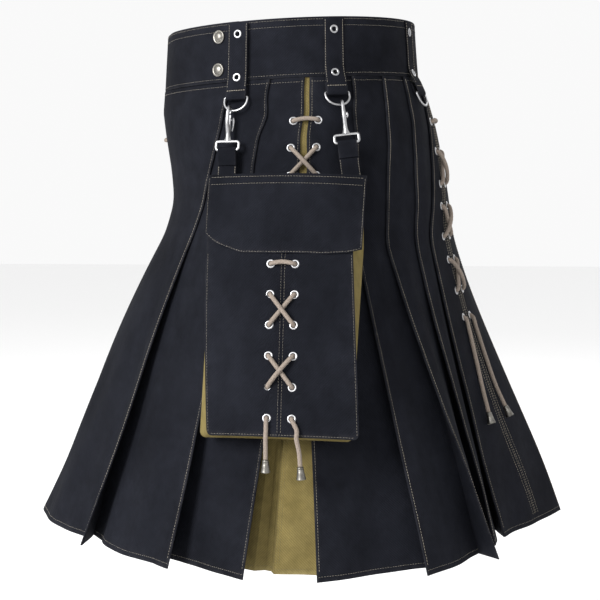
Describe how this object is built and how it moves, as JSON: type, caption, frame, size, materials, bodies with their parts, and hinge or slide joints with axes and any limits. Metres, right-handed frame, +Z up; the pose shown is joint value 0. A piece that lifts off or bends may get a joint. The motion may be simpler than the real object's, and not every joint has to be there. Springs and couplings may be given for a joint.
{
  "type": "utility kilt",
  "caption": "Knee-length dark twill utility kilt as worn, with knife pleats, khaki side inserts, laced slits, belt straps with D-rings and a hooked-on cargo pocket.",
  "frame": {"origin": "centre of the waistband's top edge, where the wearer's waist holds the garment", "axes": "+Z up out of the waist, -Y to the wearer's front, +X to the wearer's left, the side with the pocket"},
  "size_m": [0.6299, 0.6397, 0.5898],
  "materials": {
    "black_twill": "matte",
    "khaki_twill": "matte",
    "lacing_cord": "matte",
    "nickel": "polished",
    "antique_silver": "satin"
  },
  "bodies": {
    "kilt": {"front_apron": "black_twill", "pleat_left_1": "black_twill", "pleat_left_2": "black_twill", "pleat_left_3": "black_twill", "pleat_left_4": "black_twill", "pleat_left_5": "black_twill", "pleat_left_6": "black_twill", "back_left": "black_twill", "back_right": "black_twill", "pleat_right_1": "black_twill", "pleat_right_2": "black_twill", "pleat_right_3": "black_twill", "pleat_right_4": "black_twill", "pleat_right_5": "black_twill", "pleat_right_6": "black_twill", "waistband": "black_twill", "strap_left_front": "black_twill", "strap_left_mid": "black_twill", "strap_left_back": "black_twill", "strap_right_back": "black_twill", "strap_right_mid": "black_twill", "strap_right_front": "black_twill", "pocket_back": "black_twill", "pocket_flap": "black_twill", "pocket_front_left": "black_twill", "pocket_front_right": "black_twill", "hanger_left_front": "black_twill", "hanger_left_mid": "black_twill", "insert_left_front": "khaki_twill", "insert_left_back": "khaki_twill", "insert_right_back": "khaki_twill", "insert_right_front": "khaki_twill", "pocket_gusset": "khaki_twill", "lace_left_hip": "lacing_cord", "lace_back": "lacing_cord", "lace_front": "lacing_cord", "lace_pocket": "lacing_cord", "d_ring_left_front": "nickel", "d_ring_left_mid": "nickel", "hook_left_front": "nickel", "hook_gate_left_front": "nickel", "hook_left_mid": "nickel", "hook_gate_left_mid": "nickel", "snap_cap_upper": "antique_silver", "snap_cap_lower": "antique_silver", "bell_back_left": "antique_silver", "bell_back_right": "antique_silver", "bell_pocket_left": "antique_silver", "bell_pocket_right": "antique_silver"},
    "ring_left_back": {"d_ring_left_back": "nickel"},
    "ring_right_back": {"d_ring_right_back": "nickel"},
    "ring_right_mid": {"d_ring_right_mid": "nickel"},
    "ring_right_front": {"d_ring_right_front": "nickel"}
  },
  "joints": [
    {"name": "ring_left_back_swing", "type": "hinge", "parent": "kilt", "child": "ring_left_back", "pos_m": [0.06234, 0.15429, -0.07566], "axis": [0.9422, -0.3346, -0.0159], "range_deg": [0, 140]},
    {"name": "ring_right_back_swing", "type": "hinge", "parent": "kilt", "child": "ring_right_back", "pos_m": [-0.06234, 0.15429, -0.07566], "axis": [0.9422, 0.3346, 0.0159], "range_deg": [0, 140]},
    {"name": "ring_right_mid_swing", "type": "hinge", "parent": "kilt", "child": "ring_right_mid", "pos_m": [-0.16214, 0.06224, -0.08004], "axis": [0.3852, 0.9218, 0.0438], "range_deg": [0, 140]},
    {"name": "ring_right_front_swing", "type": "hinge", "parent": "kilt", "child": "ring_right_front", "pos_m": [-0.16122, -0.05551, -0.08564], "axis": [-0.3992, 0.9158, 0.0435], "range_deg": [0, 140]}
  ]
}
